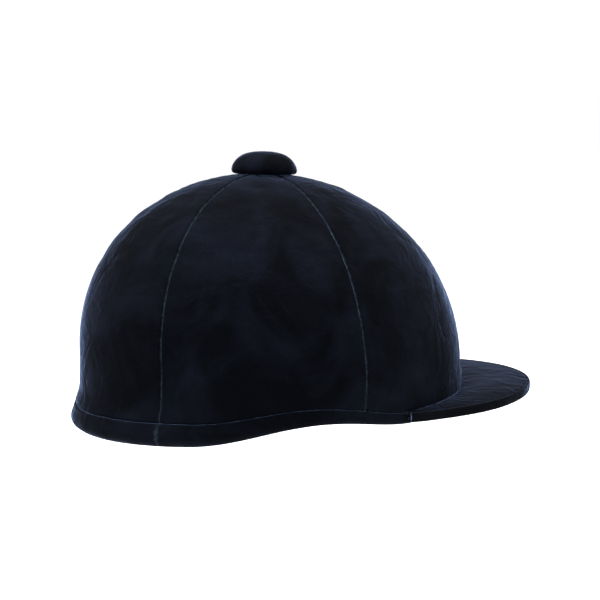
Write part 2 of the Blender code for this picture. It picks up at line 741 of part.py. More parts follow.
def chin_path(start, stop):
    """Points and outward directions along the chin strap, between two lengths from its hinge."""
    points = []
    outs = []
    stop = min(stop, CHIN_LENGTH)
    centre = chin_hinge + chin_along * CHIN_STRAIGHT + chin_curl * CHIN_CURVE
    lengths = [start] + ([CHIN_STRAIGHT] if start < CHIN_STRAIGHT < stop else [])
    begin = lengths[-1]
    steps = max(2, math.ceil((stop - begin) / 0.006))
    lengths += [begin + (stop - begin) * k / steps for k in range(1, steps + 1)]
    for length in lengths:
        if length <= CHIN_STRAIGHT:
            points.append(chin_hinge + chin_along * length)
            outs.append(-chin_curl)
            continue
        a = (length - CHIN_STRAIGHT) / CHIN_CURVE
        out = -chin_curl * math.cos(a) + chin_along * math.sin(a)
        points.append(centre + out * CHIN_CURVE)
        outs.append(out)
    return points, outs


chin_end = chin_path(HINGE_SLACK, CHIN_LENGTH)[0][-1]


def leg_outline(at, aim, half_width, start, reach):
    """Outline of a side strap in the strap's own plane, from the fold line towards its aim."""
    way = (Vector(aim) - Vector((at, 0))).normalized()
    begin = at + start * way.x / way.y
    side = Vector((way.y, -way.x))
    skew = half_width / way.y
    end = Vector(aim) - way * reach
    return [(begin - skew, start), (begin + skew, start), end + side * half_width,
            end - side * half_width]


LEGS = {"front": (0, (DIVIDER_BACK - LEG_AIM, STRAP_DROP)),
        "rear": (fold_span, (DIVIDER_BACK + LEG_AIM, STRAP_DROP))}


def tab(angle, side, name):
    """Webbing from a rivet down between shell and liner, then inwards under the liner."""
    foot, out = anchor(angle)
    along = Vector((0, 0, 1)).cross(out)
    top = RIVET_HEIGHT + TAB_ABOVE_RIVET
    deep = SHELL_IN + TAB_GAP
    outer = []
    inner = []
    for s in (-TAB_WIDTH / 2, -TAB_WIDTH / 6, TAB_WIDTH / 6, TAB_WIDTH / 2):
        def at(z, depth):
            lean = (z - foot.z) * math.tan(NOSE_DOWN)
            return Vector((foot.x, foot.y - lean, z)) - out * depth + along * s
        side_on = foot + along * s - fold_front
        end = (side_on.dot(fold_outward) - TAB_SHORT) / out.dot(fold_outward)
        outer.append([at(top, deep), at(foot.z - TAB_WEBBING / 2, deep),
                      at(foot.z - TAB_WEBBING / 2, end)])
        inner.append([at(top, deep + TAB_WEBBING), at(foot.z + TAB_WEBBING / 2, deep + TAB_WEBBING),
                      at(foot.z + TAB_WEBBING / 2, end)])
    return finish(name, mirrored(layer(outer, inner, False), side), BLACK_WEBBING)


def anchor_rivet(angle, side, name, webbing):
    """A flush-headed rivet through the shell and the tab, with its head inside."""
    foot, out = anchor(angle)
    lean = (RIVET_HEIGHT - foot.z) * math.tan(NOSE_DOWN)
    centre = Vector((foot.x, foot.y - lean, RIVET_HEIGHT))
    deep = SHELL_IN + TAB_GAP + TAB_WEBBING
    tail = deep + CLEARANCE
    seat = SHELL_OUT + RIVET_HEAD + 2 * CLEARANCE
    wide = RIVET_HEAD_RADIUS - 0.0004
    profile = [(0, -SHELL_OUT - CLEARANCE), (wide, -SHELL_OUT - CLEARANCE),
               (wide, -SHELL_OUT - CLEARANCE - RIVET_HEAD), (RIVET_RADIUS, -seat),
               (RIVET_RADIUS, -tail), (RIVET_HEAD_RADIUS, -tail),
               (RIVET_HEAD_RADIUS, -tail - RIVET_HEAD), (0, -tail - RIVET_HEAD)]
    loose = CLEARANCE
    recess = [(0, 0.003), (wide + loose, 0.003), (wide + loose, -seat - loose),
              (RIVET_RADIUS + loose, -seat - loose), (RIVET_RADIUS + loose, -tail - 0.002),
              (0, -tail - 0.002)]
    hole = [(0, -SHELL_IN), (RIVET_RADIUS + loose, -SHELL_IN),
            (RIVET_RADIUS + loose, -tail - 0.002), (0, -tail - 0.002)]
    cut(outer_shell, mirrored(lathe(recess, centre, out, 12), side), name + "_shell_hole")
    cut(webbing, mirrored(lathe(hole, centre, out, 12), side), name + "_tab_hole")
    finish(name, mirrored(lathe(profile, centre, out, 12), side), BRASS)


def empty_at(name, place):
    made = bpy.data.objects.new(name, None)
    made.empty_display_size = 0.01
    bpy.context.collection.objects.link(made)
    made.location = place
    return made


def flipped(vector, side):
    return Vector((vector.x * side, vector.y, vector.z))


def side_straps(side, label, fold_empty):
    """Front and rear straps and the divider that gathers them."""
    wide = DIVIDER_HALF_LENGTH
    tall = DIVIDER_HALF_HEIGHT
    outline = [(-wide, -tall), (wide, -tall), (wide, -tall * 0.6), (wide / 2, tall),
               (-wide / 2, tall), (-wide, -tall * 0.6)]
    block = prism(outline, divider_middle, fold_axis, strap_up, DIVIDER_THICKNESS)
    divider = finish("divider_" + label, mirrored(block, side), BLACK_ACETAL,
                     flipped(fold_front, side), fold_empty)
    for end, (at, aim) in LEGS.items():
        name = end + "_strap_" + label
        outline = leg_outline(at, aim, LEG_WIDTH / 2, HINGE_SLACK, LEG_IN_DIVIDER)
        leg = prism(outline, fold_front, fold_axis, strap_up, WEBBING)
        finish(name, mirrored(leg, side), BLACK_WEBBING, flipped(fold_front, side), fold_empty)
        room = leg_outline(at, aim, LEG_WIDTH / 2 + CLEARANCE, STRAP_DROP / 2,
                           LEG_IN_DIVIDER - CLEARANCE)
        slot = prism(room, fold_front, fold_axis, strap_up, WEBBING + 2 * CLEARANCE)
        cut(divider, mirrored(slot, side), name + "_slot")


def chin_strap(side, label, chin_empty):
    points, outs = chin_path(HINGE_SLACK, CHIN_LENGTH - STRAP_IN_BUCKLE)
    mesh = ribbon(points, outs, chin_across, CHIN_WIDTH, WEBBING)
    finish("chin_strap_" + label, mirrored(mesh, side), BLACK_WEBBING,
           flipped(chin_hinge, side), chin_empty)


def sleeve(side, name, middle, length, wall, look, chin_empty):
    """A loop of material around the chin strap: a keeper or an adjuster."""
    points, outs = chin_path(middle - length / 2, middle + length / 2)
    room = WEBBING + 2 * CLEARANCE
    tube_out = ribbon(points, outs, chin_across, CHIN_WIDTH + 2 * (CLEARANCE + wall), room + 2 * wall)
    made = finish(name, mirrored(tube_out, side), look, flipped(chin_hinge, side), chin_empty)
    points, outs = chin_path(middle - length / 2 - 0.003, middle + length / 2 + 0.003)
    tube_in = ribbon(points, outs, chin_across, CHIN_WIDTH + 2 * CLEARANCE, room)
    cut(made, mirrored(tube_in, side), name + "_bore")


def buckle_box(depth_from, depth_to, half_width, half_thickness, shift=0.0):
    """A block on the buckle's line; depths run from the end of the strap towards the chin."""
    middle = chin_end + chin_curl * ((depth_from + depth_to) / 2) + chin_across * shift
    outline = [(-half_width, depth_from), (half_width, depth_from),
               (half_width, depth_to), (-half_width, depth_to)]
    half = (depth_to - depth_from) / 2
    outline = [(s, r - (depth_from + half)) for s, r in outline]
    return prism(outline, middle, chin_across, chin_curl, 2 * half_thickness)


def joined(first, second, name):
    """Adds a second solid to an object, as one body."""
    adder = finish(name, second, ((0.5, 0.5, 0.5), 0.5))
    adder.hide_render = True
    adder.display_type = "WIRE"
    adding = first.modifiers.new(name, "BOOLEAN")
    adding.operation = "UNION"
    adding.solver = "EXACT"
    adding.object = adder


def strap_pocket(made, side, name):
    points, outs = chin_path(CHIN_LENGTH - 2 * BUCKLE_BACK, CHIN_LENGTH - STRAP_IN_BUCKLE + CLEARANCE)
    room = ribbon(points, outs, chin_across, CHIN_WIDTH + 2 * CLEARANCE, STRAP_POCKET)
    cut(made, mirrored(room, side), name + "_strap_pocket")


def buckle_female(side, chin_empty):
    """The socket half: a hollow housing with a wide mouth and a window on each side."""
    name = "buckle_socket"
    front = BUCKLE_HALF + 0.001
    block = buckle_box(-BUCKLE_BACK, front, BUCKLE_WIDTH / 2, BUCKLE_THICKNESS / 2)
    made = finish(name, mirrored(block, side), BLACK_ACETAL, flipped(chin_hinge, side), chin_empty)
    room = BUCKLE_THICKNESS / 2 - BUCKLE_FACE_WALL
    deep = BUCKLE_HALF - PRONG_REACH
    mouth = buckle_box(deep - 0.0015, front + 0.003, BUCKLE_WIDTH / 2 - BUCKLE_SIDE_WALL, room)
    cut(made, mirrored(mouth, side), name + "_mouth")
    window = buckle_box(deep + 0.001, BUCKLE_HALF - 0.004, BUCKLE_WIDTH / 2 + 0.002, room)
    cut(made, mirrored(window, side), name + "_window")
    strap_pocket(made, side, name)


def buckle_male(side, chin_empty):
    """The plug half: a base with two side prongs and a guide tongue between them."""
    name = "buckle_plug"
    front = BUCKLE_HALF - 0.002
    block = buckle_box(-BUCKLE_BACK, front, BUCKLE_WIDTH / 2, BUCKLE_THICKNESS / 2)
    made = finish(name, mirrored(block, side), BLACK_ACETAL, flipped(chin_hinge, side), chin_empty)
    tip = BUCKLE_HALF + PRONG_REACH - 0.0005
    aside = BUCKLE_WIDTH / 2 - BUCKLE_SIDE_WALL - 2 * CLEARANCE - PRONG_WIDTH / 2
    for label, shift, width, reach in (("prong_a", aside, PRONG_WIDTH, tip),
                                       ("prong_b", -aside, PRONG_WIDTH, tip),
                                       ("tongue", 0, TONGUE_WIDTH, tip - TONGUE_SHORT)):
        finger = buckle_box(front - 0.002, reach, width / 2, PRONG_THICKNESS / 2, shift)
        joined(made, mirrored(finger, side), name + "_" + label)
    strap_pocket(made, side, name)


for side, label in ((1, "left"), (-1, "right")):
    for end, angle in (("front", FRONT_ANCHOR), ("rear", REAR_ANCHOR)):
        webbing = tab(angle, side, end + "_tab_" + label)
        anchor_rivet(angle, side, end + "_rivet_" + label, webbing)
    fold_empty = empty_at("fold_" + label, flipped(fold_front, side))
    side_straps(side, label, fold_empty)
    chin_empty = empty_at("chin_fold_" + label, flipped(chin_hinge, side))
    chin_strap(side, label, chin_empty)
    sleeve(side, "keeper_" + label, KEEPER_AT, KEEPER_LENGTH, KEEPER_WALL, BLACK_WEBBING, chin_empty)

sleeve(-1, "strap_adjuster", ADJUSTER_AT, ADJUSTER_LENGTH, ADJUSTER_WALL, BLACK_ACETAL,
       bpy.data.objects["chin_fold_right"])
buckle_female(-1, bpy.data.objects["chin_fold_right"])
buckle_male(1, bpy.data.objects["chin_fold_left"])
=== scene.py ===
"""A velvet hunt cap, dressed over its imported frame.

Metres, +Z up. The peak points to -Y and the wearer's left is +X. Angles round the cap are degrees
from the front, positive to the wearer's left.
"""

import json
import math

import bpy
from mathutils import Matrix, Vector, noise


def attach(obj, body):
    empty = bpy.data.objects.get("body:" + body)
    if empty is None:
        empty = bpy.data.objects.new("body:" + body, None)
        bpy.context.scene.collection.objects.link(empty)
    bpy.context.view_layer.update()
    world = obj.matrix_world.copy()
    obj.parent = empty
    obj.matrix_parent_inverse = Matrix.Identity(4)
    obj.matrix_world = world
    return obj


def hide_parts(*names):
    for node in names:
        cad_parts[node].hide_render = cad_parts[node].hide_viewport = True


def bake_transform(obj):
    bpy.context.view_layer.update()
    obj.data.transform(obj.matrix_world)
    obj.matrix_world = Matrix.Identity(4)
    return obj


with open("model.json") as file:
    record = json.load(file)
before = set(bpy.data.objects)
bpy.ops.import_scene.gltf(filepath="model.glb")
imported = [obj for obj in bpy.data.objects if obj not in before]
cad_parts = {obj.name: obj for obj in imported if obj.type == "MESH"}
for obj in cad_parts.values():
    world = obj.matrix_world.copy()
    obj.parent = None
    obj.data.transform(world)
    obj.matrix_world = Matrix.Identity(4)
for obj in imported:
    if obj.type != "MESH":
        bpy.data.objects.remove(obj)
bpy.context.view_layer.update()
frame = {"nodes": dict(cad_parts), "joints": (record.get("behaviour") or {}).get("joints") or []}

MM = 0.001

# ---------------------------------------------------------------------------
# Camera, floor and light. A long lens looks at the right rear quarter from a little above the rim.
# The floor lies below the lowest reach of the harness when it hangs out of the cap.
# ---------------------------------------------------------------------------
CAP_MIDDLE = Vector((0, 24.7 * MM, 35.5 * MM))   # middle of the head opening, at the widest height
VIEW_TURN = math.radians(238.5)
VIEW_RISE = math.radians(9.3)
VIEW_ROLL = math.radians(-1.8)
VIEW_DISTANCE = 1.1
ASIDE = 18.1 * MM          # the middle of the frame lies this far to the right of the cap's middle
ABOVE = 33.7 * MM

towards_camera = Vector((math.sin(VIEW_TURN) * math.cos(VIEW_RISE),
                         -math.cos(VIEW_TURN) * math.cos(VIEW_RISE), math.sin(VIEW_RISE)))
level = towards_camera.to_track_quat("Z", "Y")
right_hand = level @ Vector((1, 0, 0))
upwards = level @ Vector((0, 1, 0))

camera = bpy.data.objects.new("camera", bpy.data.cameras.new("camera"))
bpy.context.collection.objects.link(camera)
camera.location = CAP_MIDDLE + towards_camera * VIEW_DISTANCE
aim = CAP_MIDDLE + right_hand * ASIDE + upwards * ABOVE - camera.location
camera.rotation_mode = "QUATERNION"
camera.rotation_quaternion = (aim.to_track_quat("-Z", "Y")
                              @ Matrix.Rotation(VIEW_ROLL, 3, "Z").to_quaternion())
camera.data.lens = 103.5
camera.data.sensor_width = 36
bpy.context.scene.camera = camera
bpy.context.scene.view_settings.view_transform = "Standard"

FLOOR_BELOW = 0.20         # the hanging harness reaches 0.14 below the rim


def linear(hex_colour):
    """An sRGB hex colour as linear RGBA."""
    parts = [int(hex_colour[k:k + 2], 16) / 255 for k in (0, 2, 4)]
    return [c / 12.92 if c <= 0.04045 else ((c + 0.055) / 1.055) ** 2.4 for c in parts] + [1.0]


def add(tree, kind, inputs=None, **settings):
    """Adds a node: settings are its properties, inputs its values or the outputs joined to it."""
    made = tree.nodes.new("ShaderNode" + kind)
    for key, value in settings.items():
        setattr(made, key, value)
    for key, value in (inputs or {}).items():
        if isinstance(value, bpy.types.NodeSocket):
            tree.links.new(value, made.inputs[key])
        else:
            made.inputs[key].default_value = value
    return made


def surface(name, **values):
    """A new material and its shader, with constant values set on the shader's own sockets."""
    made = bpy.data.materials.new(name)
    made.use_nodes = True
    shader = made.node_tree.nodes["Principled BSDF"]
    for key, value in values.items():
        shader.inputs[key.replace("_", " ")].default_value = value
    return made, made.node_tree, shader


def lamp(name, place, target, width, power):
    made = bpy.data.objects.new(name, bpy.data.lights.new(name, "AREA"))
    bpy.context.collection.objects.link(made)
    made.data.shape = "DISK"
    made.data.size = width
    made.data.energy = power
    made.location = place
    made.rotation_mode = "QUATERNION"
    made.rotation_quaternion = (Vector(target) - Vector(place)).to_track_quat("-Z", "Y")


lamp("overhead", (0.1, 0.1, 1.6), CAP_MIDDLE, 0.9, 62)
lamp("rear_fill", (0.2, 1.7, 0.8), CAP_MIDDLE, 0.8, 9)
lamp("front_fill", (-0.4, -1.6, 0.9), CAP_MIDDLE, 0.8, 7)

world = bpy.data.worlds.new("studio")
world.use_nodes = True
world.node_tree.nodes["Background"].inputs["Color"].default_value = linear("ffffff")
world.node_tree.nodes["Background"].inputs["Strength"].default_value = 1.05
bpy.context.scene.world = world

paper, tree, shader = surface("pale_paper_floor", Roughness=0.95)
grain = add(tree, "TexNoise", {"Scale": 40.0, "Detail": 3.0})
tones = add(tree, "ValToRGB", {"Fac": grain.outputs["Fac"]})
tones.color_ramp.elements[0].color = linear("f7f7f7")
tones.color_ramp.elements[1].color = linear("fcfcfc")
tree.links.new(tones.outputs["Color"], shader.inputs["Base Color"])
clear = add(tree, "BsdfTransparent")
side_seen = add(tree, "NewGeometry")
one_sided = add(tree, "MixShader", {"Fac": side_seen.outputs["Backfacing"],
                                    1: shader.outputs["BSDF"], 2: clear.outputs["BSDF"]})
output = next(node for node in tree.nodes if node.bl_idname == "ShaderNodeOutputMaterial")
tree.links.new(one_sided.outputs["Shader"], output.inputs["Surface"])
bpy.ops.mesh.primitive_plane_add(size=30, location=(0, 0, -FLOOR_BELOW))
floor = bpy.context.object
floor.name = "floor"
floor.data.materials.append(paper)

# ---------------------------------------------------------------------------
# Velvet crown. Six panels of navy cotton velvet are sewn together along seams that run from the
# button to the rim, and the cover is stretched over the hard shell and glued down.
# ---------------------------------------------------------------------------
HALF_LENGTH = 126 * MM
HALF_WIDTH = 105 * MM
CROWN_RISE = 115 * MM
CROWN_SETBACK = 9.8 * MM
CROWN_FULLNESS = 2.05
LEAN = math.radians(3.6)   # the cap leans forward on its rim
leaning = Matrix.Rotation(LEAN, 3, "X")


def upright(x, y, height):
    """A point given along the cap's own axes, in the leaning cap."""
    return leaning @ Vector((x, y, height)) + CAP_MIDDLE


def on_wall(angle, z, inset):
    """On the straight lower wall, z above the surface that the cap stands on."""
    a = math.radians(angle)
    y = -(HALF_LENGTH - inset) * math.cos(a)
    height = (z - CAP_MIDDLE.z - y * math.sin(LEAN)) / math.cos(LEAN)
    return upright((HALF_WIDTH - inset) * math.sin(a), y, height)


def on_crown(angle, rise, inset):
    """On the dome; rise is 0 where the wall ends and 90 at the crown point."""
    a = math.radians(angle)
    u = math.radians(rise)
    spread = math.cos(u) ** (2 / CROWN_FULLNESS)
    height = (CROWN_RISE - inset) * math.sin(u) ** (2 / CROWN_FULLNESS)
    return upright((HALF_WIDTH - inset) * spread * math.sin(a),
                   -(HALF_LENGTH - inset) * spread * math.cos(a)
                   + CROWN_SETBACK * height / CROWN_RISE, height)


def on_cap(angle, way, inset):
    """way is a height in metres along the wall below the dome if negative, else a rise in degrees."""
    if way >= 0:
        return on_crown(angle, way, inset)
    a = math.radians(angle)
    return upright((HALF_WIDTH - inset) * math.sin(a), -(HALF_LENGTH - inset) * math.cos(a), way)


def wall_way(angle, z):
    """The way down the wall to a height above the standing surface."""
    y = -HALF_LENGTH * math.cos(math.radians(angle))
    return (z - CAP_MIDDLE.z - y * math.sin(LEAN)) / math.cos(LEAN)


def hump(angle, centre, half_span):
    """1 at the centre, falling smoothly to 0 at half_span to either side."""
    away = abs(abs(angle) - centre) / half_span
    return math.cos(away * math.pi / 2) ** 2 if away < 1 else 0.0


def ease(value, low, high):
    """0 below low and 1 above high, smooth between."""
    share = min(max((value - low) / (high - low), 0), 1)
    return share * share * (3 - 2 * share)


def rim_height(angle):
    """Underside of the rim: flat at the back, arched over the ears."""
    fade = min(max((abs(angle) - 64) / 68, 0), 1)
    return 0.5 * MM * (1 + math.cos(math.pi * fade)) + 8.6 * MM * hump(angle, 105, 36)


PEAK_END = 70                   # degrees each side of the front where the frame's peak stops
PEAK_ROOT = 7.9 * MM            # top of the peak above the rim, where it meets the crown


def band_height(angle):
    """Height of the rim band: low at the temples and deep at the back."""
    return (6.5 + 7.5 * ease(abs(angle), PEAK_END, 150)) * MM


def crease_height(angle):
    """Where the crown velvet ends, on the peak in front and on the rim band behind."""
    behind = ease(abs(angle), PEAK_END - 4, PEAK_END + 8)
    return rim_height(angle) + PEAK_ROOT + (band_height(angle) - PEAK_ROOT) * behind


def skirt(angle, above_rim):
    """How far the cap's lower edge is padded out at the back, at a height above its rim."""
    return 4.4 * MM * ease(abs(angle), 105, 160) * (1 - ease(above_rim, 7 * MM, 27 * MM))


def piece(name, points, faces, look, marks=None, thickness=0.0, uvs=None):
    """A mesh object. marks is a value per point for the material, thickness goes inwards."""
    data = bpy.data.meshes.new(name)
    data.from_pydata([tuple(p) for p in points], [], faces)
    if marks:
        stored = data.attributes.new("mark", "FLOAT", "POINT")
        stored.data.foreach_set("value", marks)
    if uvs:
        layer = data.uv_layers.new(name="along")
        for loop in data.loops:
            layer.data[loop.index].uv = uvs[loop.vertex_index]
    data.shade_smooth()
    data.materials.append(look)
    made = bpy.data.objects.new(name, data)
    bpy.context.collection.objects.link(made)
    if thickness:
        solid = made.modifiers.new("thickness", "SOLIDIFY")
        solid.thickness = thickness
        solid.offset = -1
        solid.use_even_offset = True
    return made


def grid_faces(columns, rows, round_it=False, first=0):
    """Faces of a grid stored column by column, facing out for angles that rise to the left."""
    faces = []
    for i in range(columns if round_it else columns - 1):
        j = (i + 1) % columns
        for k in range(rows - 1):
            faces.append((first + i * rows + k, first + j * rows + k,
                          first + j * rows + k + 1, first + i * rows + k + 1))
    return faces


# Cotton velvet with a short upright pile: almost black when seen straight down the pile, and paler
# and bluer where it is seen from the side, with soft patches where the pile was brushed over. A
# paler, ragged line along each seam is painted sheen, for the pile that turns over into the seam
# and catches the light.
def cotton_velvet(name, deep, brushed, wear_and_seam_sheen):
    made, tree, shader = surface(name, Roughness=0.95, Specular_IOR_Level=0.03, Sheen_Weight=0.72,
                                 Sheen_Roughness=0.20, Sheen_Tint=linear("7388b4"))
    place = add(tree, "TexCoord")
    patches = add(tree, "TexNoise", {"Vector": place.outputs["Object"], "Scale": 1 / (45 * MM),
                                     "Detail": 3.0, "Roughness": 0.55, "Distortion": 0.8})
    tones = add(tree, "ValToRGB", {"Fac": patches.outputs["Fac"]})
    tones.color_ramp.elements[0].position = 0.40
    tones.color_ramp.elements[0].color = linear(deep)
    tones.color_ramp.elements[1].position = 0.72
    tones.color_ramp.elements[1].color = linear(brushed)
    pile = add(tree, "TexNoise", {"Vector": place.outputs["Object"], "Scale": 1 / (0.9 * MM),
                                  "Detail": 2.0})
    speckle = add(tree, "Mix", {0: 0.55, 6: tones.outputs["Color"], 7: pile.outputs["Fac"]},
                  data_type="RGBA", blend_type="OVERLAY")
    # Painted sheen: along the seams the base colour is lightened in a ragged line, for the pile that
    # turns over into the seam and catches the light.
    seam = add(tree, "Attribute", attribute_name="mark")
    ragged = add(tree, "TexNoise", {"Vector": place.outputs["Object"], "Scale": 1 / (2.2 * MM),
                                    "Detail": 3.0, "Roughness": 0.7})
    seam_sheen_line = add(tree, "Math", {0: seam.outputs["Fac"], 1: ragged.outputs["Fac"]},
                 operation="MULTIPLY")
    edge = add(tree, "MapRange", {"Value": seam_sheen_line.outputs[0], "From Min": 0.30, "From Max": 0.62})
    colour = add(tree, "Mix", {0: edge.outputs["Result"], 6: speckle.outputs[2], 7: linear(wear_and_seam_sheen)},
                 data_type="RGBA")
    tree.links.new(colour.outputs[2], shader.inputs["Base Color"])
    nap = add(tree, "TexNoise", {"Vector": place.outputs["Object"], "Scale": 1 / (18 * MM),
                                 "Detail": 2.0, "Distortion": 1.2})
    lie = add(tree, "Bump", {"Strength": 0.45, "Distance": 3.0 * MM,
                             "Height": nap.outputs["Fac"]})
    tufts = add(tree, "Bump", {"Strength": 0.5, "Distance": 0.35 * MM,
                               "Height": pile.outputs["Fac"], "Normal": lie.outputs["Normal"]})
    tree.links.new(tufts.outputs["Normal"], shader.inputs["Normal"])
    return made


# Its last colour is the painted seam sheen.
NAVY_VELVET = cotton_velvet("navy_cotton_velvet", "020306", "0a0d16", "1f282e")

CLOTH = 1.0 * MM
OVER_FLANGE = 1.3 * MM     # the crown velvet passes over the flange of the peak
COLUMNS = 60
WALL_ROWS = 16
DOME_ROWS = 64
CROWN_HOLE = 83.5          # rise at which the panels end, under the button
ARC = 2.0 * MM             # about one degree round the widest part


def easing(angle, way):
    """How far the cloth stands out where it is eased round the crown, in metres."""
    rise = max(way, 0)
    loose = ease(rise, 12, 38) * (1 - ease(rise, 66, 80))
    folds = noise.noise(Vector((angle * 0.045, rise * 0.17, 3.1)))
    small = noise.noise(Vector((angle * 0.10, rise * 0.33, 8.4)))
    return (0.55 * folds + 0.25 * small) * loose * MM


def crown_panel(name, middle):
    points = []
    marks = []
    for i in range(COLUMNS + 1):
        offset = 29.98 * math.sin(math.pi / 2 * (2 * i / COLUMNS - 1))
        angle = (middle + offset + 180) % 360 - 180
        low = wall_way(angle, crease_height(angle))
        ways = [low * (1 - k / WALL_ROWS) for k in range(WALL_ROWS)]
        ways += [CROWN_HOLE * k / DOME_ROWS for k in range(DOME_ROWS + 1)]
        front = 1 - ease(abs(angle), PEAK_END - 8, PEAK_END + 4)
        for way in ways:
            spread = math.cos(math.radians(max(way, 0)))
            to_seam = (30 - abs(offset)) * ARC * spread
            above = way - low if way < 0 else -low + math.radians(way) * CROWN_RISE
            groove = 1.0 * MM * math.exp(-(to_seam / (0.8 * MM)) ** 2)
            pucker = (0.16 * MM * math.exp(-to_seam / (4 * MM))
                      * math.sin(above / (5.5 * MM) * 2 * math.pi + 2 * math.sin(above * 90)))
            tuck = 0.9 * MM * math.exp(-(above / (1.1 * MM)) ** 2)
            over = OVER_FLANGE * front * (1 - ease(above, 9 * MM, 16 * MM))
            padding = skirt(angle, crease_height(angle) - rim_height(angle) + above)
            out = easing(angle, way) + pucker + over + padding - groove - tuck
            points.append(on_cap(angle, way, -out))
            # Painted sheen: the mark is 1 on each seam, where the velvet's colour is painted paler.
            marks.append(math.exp(-(to_seam / (1.0 * MM)) ** 2))
    rows = WALL_ROWS + DOME_ROWS + 1
    made = piece(name, points, grid_faces(COLUMNS + 1, rows), NAVY_VELVET, marks, CLOTH)
    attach(made, "cap")
    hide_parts("velvet_" + name)


for name, middle in (("panel_front", 0), ("panel_front_left", 60), ("panel_rear_left", 120),
                     ("panel_rear", 180), ("panel_rear_right", -120), ("panel_front_right", -60)):
    crown_panel(name, middle)

# ---------------------------------------------------------------------------
# Rim band. A bias strip of the same velvet is rolled over the lower edge of the shell, turned in
# below it, and sewn along a crease under the crown panels. It stands out further at the back.
# ---------------------------------------------------------------------------
ROLL = 1.2 * MM            # how far the rolled strip bulges
RIM_INNER = 19.5 * MM      # how far in it reaches, below the foam
BAND_STEPS = 360


def band_row(angle):
    """The band's outline at one angle, from the inside of the turned rim up to the crease."""
    base = rim_height(angle)
    behind = ease(abs(angle), PEAK_END - 1, PEAK_END + 9)
    tall = 2.8 * MM + (crease_height(angle) - base - 2.8 * MM) * behind
    bulge = ROLL * (0.4 + 0.6 * behind)
    ripple = 0.18 * MM * noise.noise(Vector((angle * 0.22, 1.7, 0.3)))
    outline = [(RIM_INNER, 0.9 * MM), (RIM_INNER - 0.8 * MM, 0), (12 * MM, 0), (6 * MM, 0)]
    corner = min(4.0 * MM + 2 * skirt(angle, 0), 9 * MM)
    for k in range(17):
        share = k / 16
        up = tall * share ** 1.5 * 0.985
        under = corner * (1 - min(up / (0.6 * tall), 1)) ** 2.6
        out = skirt(angle, up) + bulge * math.sin(math.pi * min(share + 0.12, 1)) - under * 0.55
        outline.append((-out - ripple, up))
    outline.append((0.9 * MM - skirt(angle, tall), tall))
    return [on_wall(angle, base + up, inset) for inset, up in outline]


points = []
marks = []
for i in range(BAND_STEPS):
    angle = i * 360 / BAND_STEPS
    angle = angle - 360 if angle > 180 else angle
    row = band_row(angle)
    points += row
    # Painted sheen: the band's join at the back is marked like the crown seams and painted paler.
    marks += [0.9 * math.exp(-((abs(angle) - 150) / 1.5) ** 2)] * len(row)
rim_band = piece("rolled_rim_band", points, grid_faces(BAND_STEPS, len(row), True),
                 NAVY_VELVET, marks, CLOTH)
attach(rim_band, "cap")
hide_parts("rim_band")

# ---------------------------------------------------------------------------
# Peak. A flexible board is riveted to the shell. Velvet covers its top, thin cloth its underside,
# and a folded strip of velvet is sewn round the edge.
# ---------------------------------------------------------------------------
PEAK_LENGTH = 55 * MM
PEAK_SPAN = 76.0
PEAK_TAPER = 1.2
PEAK_SIDE = 75.0           # the covered peak runs in to the cap this far from the front
PEAK_COLUMNS = 150
PEAK_ROWS = 22
EDGE_TOP = 6.6 * MM


def peak_reach(angle):
    away = min(abs(angle), PEAK_SPAN)
    return PEAK_LENGTH * math.cos(math.radians(90 * away / PEAK_SPAN)) ** PEAK_TAPER


def peak_edge(angle):
    """Height of the outer edge's top; it follows the rim where the peak runs in to the cap."""
    side = ease(abs(angle), 45, PEAK_SIDE)
    high = EDGE_TOP + 1.0 * MM * hump(angle, 0, 55)
    return high + (rim_height(angle) + PEAK_ROOT - 1.2 * MM - high) * side


def on_peak(angle, share, drop):
    """From the root (share 0) to the outer edge (share 1), a drop below the velvet's top."""
    root = rim_height(angle) + PEAK_ROOT
    reach = peak_reach(angle)
    crowned = 1.3 * MM * math.sin(math.pi * share) * min(reach / PEAK_LENGTH * 1.6, 1)
    z = root + (peak_edge(angle) - root) * share + crowned - drop
    return on_wall(angle, z, -0.2 * MM - reach * share)


def peak_leaf(name, drop, thickness, look, flip=False):
    points = []
    for i in range(PEAK_COLUMNS + 1):
        angle = -PEAK_SIDE + 2 * PEAK_SIDE * i / PEAK_COLUMNS
        for k in range(PEAK_ROWS + 1):
            share = 1 - k / PEAK_ROWS
            nap = 0.10 * MM * noise.noise(Vector((angle * 0.2, share * 9, 5.5)))
            points.append(on_peak(angle, share, drop) + Vector((0, 0, nap)))
    faces = grid_faces(PEAK_COLUMNS + 1, PEAK_ROWS + 1)
    if flip:
        faces = [tuple(reversed(face)) for face in faces]
    return piece(name, points, faces, look, None, thickness)


peak_top = peak_leaf("peak_velvet", 0, 0.8 * MM, NAVY_VELVET)
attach(peak_top, "cap")
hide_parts("peak_top_velvet")

# The same velvet, folded double and pressed hard along the edge, so it is darker and flatter.
# Its last colour is the painted seam sheen. It does not show here, because the binding has no seam
# marks.
EDGE_VELVET = cotton_velvet("folded_edge_velvet", "020305", "07090d", "20252b")

EDGE_HEIGHT = 5.9 * MM
EDGE_WIDTH = 2.6 * MM
EDGE_SIDES = 14

